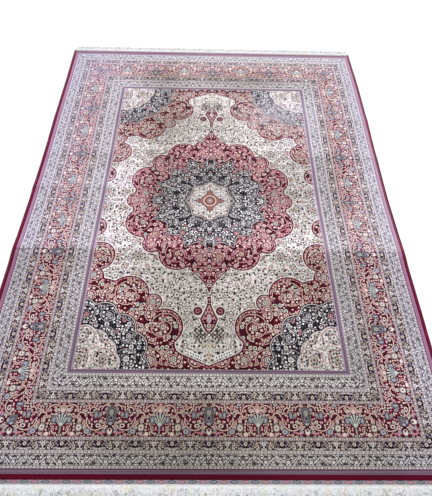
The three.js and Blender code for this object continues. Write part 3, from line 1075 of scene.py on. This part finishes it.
def make_pile(materials):
    """The cut pile: a slab on the foundation, its edges rounded over, its top in soft unevenness."""
    half = CLOTH_WIDTH / 2
    sides = [s * (half - step) for s in (-1, 1) for step in EDGE_STEPS]
    ends = [s * (HALF_PILE - step) for s in (-1, 1) for step in EDGE_STEPS]
    columns = stations([*sides, -FIELD_X, FIELD_X], PILE_SPACING)
    x, y = np.meshgrid(columns, stations([*ends, *crease_stops(), -FIELD_Y, FIELD_Y], PILE_SPACING))
    inside = np.minimum(half - abs(x), HALF_PILE - abs(y))
    shoulder = 1 - np.clip(1 - inside / EDGE_ROUND, 0, 1) ** 2
    uneven = UNEVEN * np.sin(x / 83 + 1.3 * np.sin(y / 140)) * np.sin(y / 97 + 0.7 * np.sin(x / 150))
    share = 1 - EDGE_ROUND_SHARE + EDGE_ROUND_SHARE * shoulder
    depth = (PILE_THICKNESS - FOUNDATION_THICKNESS) * share + uneven * (inside > EDGE_ROUND)
    base = lift(x, y) + FOUNDATION_THICKNESS - PILE_SUNK
    top = base + depth + PILE_SUNK - PARTING_DEPTH * parting(x, y)
    points, faces, flat, _ = slab(x, y, base, top)
    middles = flat[faces].mean(1)
    in_field = (abs(middles[:, 0]) < FIELD_X) & (abs(middles[:, 1]) < FIELD_Y)
    flat_x, flat_y = flat[:, 0], flat[:, 1]
    numbers = {"parting": parting(flat_x, flat_y), "nap_sheen_and_shade": nap_sheen_and_shade(flat_x, flat_y)}
    return add_piece("rug_pile", points, faces, materials, flat, in_field.astype(int), **numbers)


def make_foundation(materials):
    """The woven foundation, which shows as the flat-woven ends and as the rug's knotted back."""
    half = CLOTH_WIDTH / 2
    columns = stations([-half, half], FOUNDATION_SPACING)
    rows = stations([-HALF_CLOTH, -HALF_PILE, HALF_PILE, HALF_CLOTH, *crease_stops()], FOUNDATION_SPACING)
    x, y = np.meshgrid(columns, rows)
    base = lift(x, y)
    points, faces, flat, tops = slab(x, y, base, base + FOUNDATION_THICKNESS)
    slots = np.zeros(len(faces), int)
    slots[tops : 2 * tops] = 1
    return add_piece("rug_foundation", points, faces, materials, flat, slots)


def swept(sections):
    """Points and faces of a closed tube through these sections, an array of sections by corners by 3."""
    count, corners = sections.shape[:2]
    index = np.arange(count * corners).reshape(count, corners)
    after = np.roll(index, -1, 1)
    faces = np.stack([index[:-1], after[:-1], after[1:], index[1:]], -1).reshape(-1, 4).tolist()
    faces += [index[0, ::-1].tolist(), index[-1].tolist()]
    return sections.reshape(-1, 3), faces


WRAP_PITCH, WRAP_RIDGE, WRAP_CORNERS = 2.6, 0.35, 10
WRAP_SLANT, WRAP_END_POWER = 0.5, 40  # the turns' slant, which goes at both ends


def make_selvedge(name, side, material):
    """An overcast cord along a long side: an oval rope of close silk wraps, laid on the side line."""
    outward = -1 if side == LEFT else 1
    rings = 2 * round(CLOTH_LENGTH / WRAP_PITCH) + 1
    y = np.linspace(-HALF_CLOTH, HALF_CLOTH, rings)[:, None]
    inner = CLOTH_WIDTH / 2 - draw_in(y, side) + PIECE_GAP
    groove = WRAP_RIDGE * (1 - np.arange(rings)[:, None] % 2)
    angles = np.arange(WRAP_CORNERS) * 2 * math.pi / WRAP_CORNERS
    x = inner + CORD_WIDTH / 2 + (CORD_WIDTH / 2 - groove) * np.cos(angles)
    z = lift(outward * inner, y) + CORD_HEIGHT / 2 + (CORD_HEIGHT / 2 - groove) * np.sin(angles)
    slant = WRAP_SLANT * np.sin(angles) * (1 - abs(y / HALF_CLOTH) ** WRAP_END_POWER)
    sections = np.stack([outward * x, y + slant, z], -1)
    if outward > 0:
        sections = sections[:, ::-1]
    points, faces = swept(sections)
    return add_piece(name, points, faces, [material], points)


STRAND_PITCH, STRAND_LAYERS, STRAND_STEPS = 1.5, 3, 7
STRAND_CORNERS = np.array([0.5, 2.6, 4.7])
STRAND_ROOT, STRAND_LENGTH, STRAND_HALF, STRAND_CURL = (-0.6, 0.6), (0.82, 0.985), (0.34, 0.5), (4, 8)
STRAND_STRAY, STRAND_BEND = 4.0, 1.8  # how far tips stray and strands bend, as a spread
STRAND_HEIGHT, LAYER_STEP, STRAND_RISE, STRAND_TURNS = 0.45, 0.42, 0.25, 7
STRAND_FLATNESS, TIP_THINNING, OVER_FLOOR = 0.7, 0.55, 0.02
BUNDLE, BUNDLE_PULL, BUNDLE_CLOSE = 18.0, (-0.15, 0.35), 0.8
FRINGE_INSET = 1.5


def strand(root, layer, half, chance):
    """One loose silk thread, from its root outwards, which leans into its bundle, strays and thins."""
    t = np.linspace(0, 1, STRAND_STEPS)[:, None]
    start = root + chance.uniform(*STRAND_ROOT)
    drawn = (start - (math.floor(start / BUNDLE) + 0.5) * BUNDLE) * chance.uniform(*BUNDLE_PULL)
    length = (FRINGE_END - FRINGE_START) * chance.uniform(*STRAND_LENGTH)
    stray = chance.normal(0, STRAND_STRAY)
    bend = chance.normal(0, STRAND_BEND)
    phase = chance.uniform(0, 2 * math.pi)
    curl = chance.uniform(*STRAND_CURL)
    x = start - drawn * np.sin(t * math.pi * BUNDLE_CLOSE) + stray * t**2
    x = np.clip(x + bend * np.sin(t * curl + phase) * t, -half, half)
    z = STRAND_HEIGHT + LAYER_STEP * layer + STRAND_RISE * np.sin(t * STRAND_TURNS + phase) * t
    thin = chance.uniform(*STRAND_HALF) * (1 - TIP_THINNING * t**2)
    x = x + thin * np.cos(STRAND_CORNERS)
    z = np.maximum(z + STRAND_FLATNESS * thin * np.sin(STRAND_CORNERS), OVER_FLOOR)
    return np.stack([x, FRINGE_START + length * t + 0 * x, z], -1)[:, ::-1]


def make_fringe(name, end, material, seed):
    """A fringe of loose silk threads in soft bundles, in layers."""
    chance = np.random.default_rng(seed)
    left = -CLOTH_WIDTH / 2 + draw_in(HALF_CLOTH * end, LEFT) + FRINGE_INSET
    right = CLOTH_WIDTH / 2 - draw_in(HALF_CLOTH * end, RIGHT) - FRINGE_INSET
    middle, half = (left + right) / 2, (right - left) / 2
    points, faces, shades = [], [], []
    for layer in range(STRAND_LAYERS):
        for root in np.arange(-half, half, STRAND_PITCH):
            strand_points, strand_faces = swept(strand(root, layer, half, chance))
            start = len(points) * len(strand_points)
            points.append(strand_points)
            faces += [[corner + start for corner in face] for face in strand_faces]
            shades.append(np.full(len(strand_points), chance.uniform(0, 1)))
    points = np.concatenate(points) * (end, end, 1) + (middle, 0, 0)
    return add_piece(name, points, faces, [material], points, strand=np.concatenate(shades))


# ---- the rug

pile = make_pile([pile_material("pile_border", border_colour), pile_material("pile_field", field_colour)])
foundation = make_foundation([foundation_material(), back_material()])
cord_silk = cord_material()
selvedge_left = make_selvedge("selvedge_wrap_left", LEFT, cord_silk)
selvedge_right = make_selvedge("selvedge_wrap_right", RIGHT, cord_silk)
fringe_silk = fringe_material()
fringe_far = make_fringe("fringe_strands_far", 1, fringe_silk, 11)
fringe_near = make_fringe("fringe_strands_near", -1, fringe_silk, 12)

PIECES = (
    (foundation, "rug_cloth", "silk_pile"),
    (pile, "rug_cloth", "silk_pile"),
    (selvedge_left, "selvedge_left", "overcast_silk"),
    (selvedge_right, "selvedge_right", "overcast_silk"),
    (fringe_far, "fringe_far", "fringe_silk"),
    (fringe_near, "fringe_near", "fringe_silk"),
)
for piece, cad_node, slot in PIECES:
    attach(piece, "root")
    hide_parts(cad_node)

# ---- floor, light and camera

FLOOR_HALF, FLOOR_POINTS = 14.0, 9
SKY_STRENGTH = 0.62


def make_floor():
    """A large plain floor, in a coarse grid, just under the rug."""
    steps = np.linspace(-FLOOR_HALF, FLOOR_HALF, FLOOR_POINTS) / MM
    x, y = np.meshgrid(steps, steps)
    points = np.stack([x, y, 0 * x], -1).reshape(-1, 3)
    faces = grid_faces(np.arange(x.size).reshape(x.shape))
    add_piece("floor", points, faces, [floor_material()], points)


def add_light(name, place_m, aim_m, size, power, tint=(1, 1, 1)):
    light = bpy.data.lights.new(name, "AREA")
    light.shape = "RECTANGLE"
    light.size, light.size_y = size
    light.energy = power
    light.color = tint
    lamp = put(name, light)
    lamp.location = place_m
    lamp.rotation_euler = (Vector(aim_m) - lamp.location).to_track_quat("-Z", "Y").to_euler()


def make_lights():
    """A soft light overhead, a window beyond the far end, and an even sky."""
    add_light("key", (0.3, 0.0, 3.6), (0, 0, 0), (3.4, 3.4), 80)
    add_light("window", (2.2, 6.2, 3.2), (0, 0.3, 0), (6.0, 2.6), 300, (0.93, 0.95, 1))
    world = bpy.data.worlds.new("studio")
    world.use_nodes = True
    background = world.node_tree.nodes["Background"]
    background.inputs["Color"].default_value = (1, 1, 1, 1)
    background.inputs["Strength"].default_value = SKY_STRENGTH
    bpy.context.scene.world = world
    bpy.context.scene.view_settings.view_transform = "Standard"


CAMERA_PLACE = (-0.003, -1.218, 1.566)
CAMERA_PITCH, CAMERA_YAW, CAMERA_ROLL = (math.radians(a) for a in (59.19, -1.69, -2.1))
LENS = 28.26


def make_camera():
    """A standing person's view of the rug from its near end."""
    camera_data = bpy.data.cameras.new("camera")
    camera_data.lens = LENS
    camera_data.sensor_width = 36
    camera = put("camera", camera_data)
    tilt = Matrix.Rotation(math.pi / 2 - CAMERA_PITCH, 4, "X")
    turned = Matrix.Rotation(CAMERA_YAW, 4, "Z") @ tilt @ Matrix.Rotation(-CAMERA_ROLL, 4, "Z")
    camera.matrix_world = Matrix.Translation(CAMERA_PLACE) @ turned
    bpy.context.scene.camera = camera


make_floor()
make_lights()
make_camera()
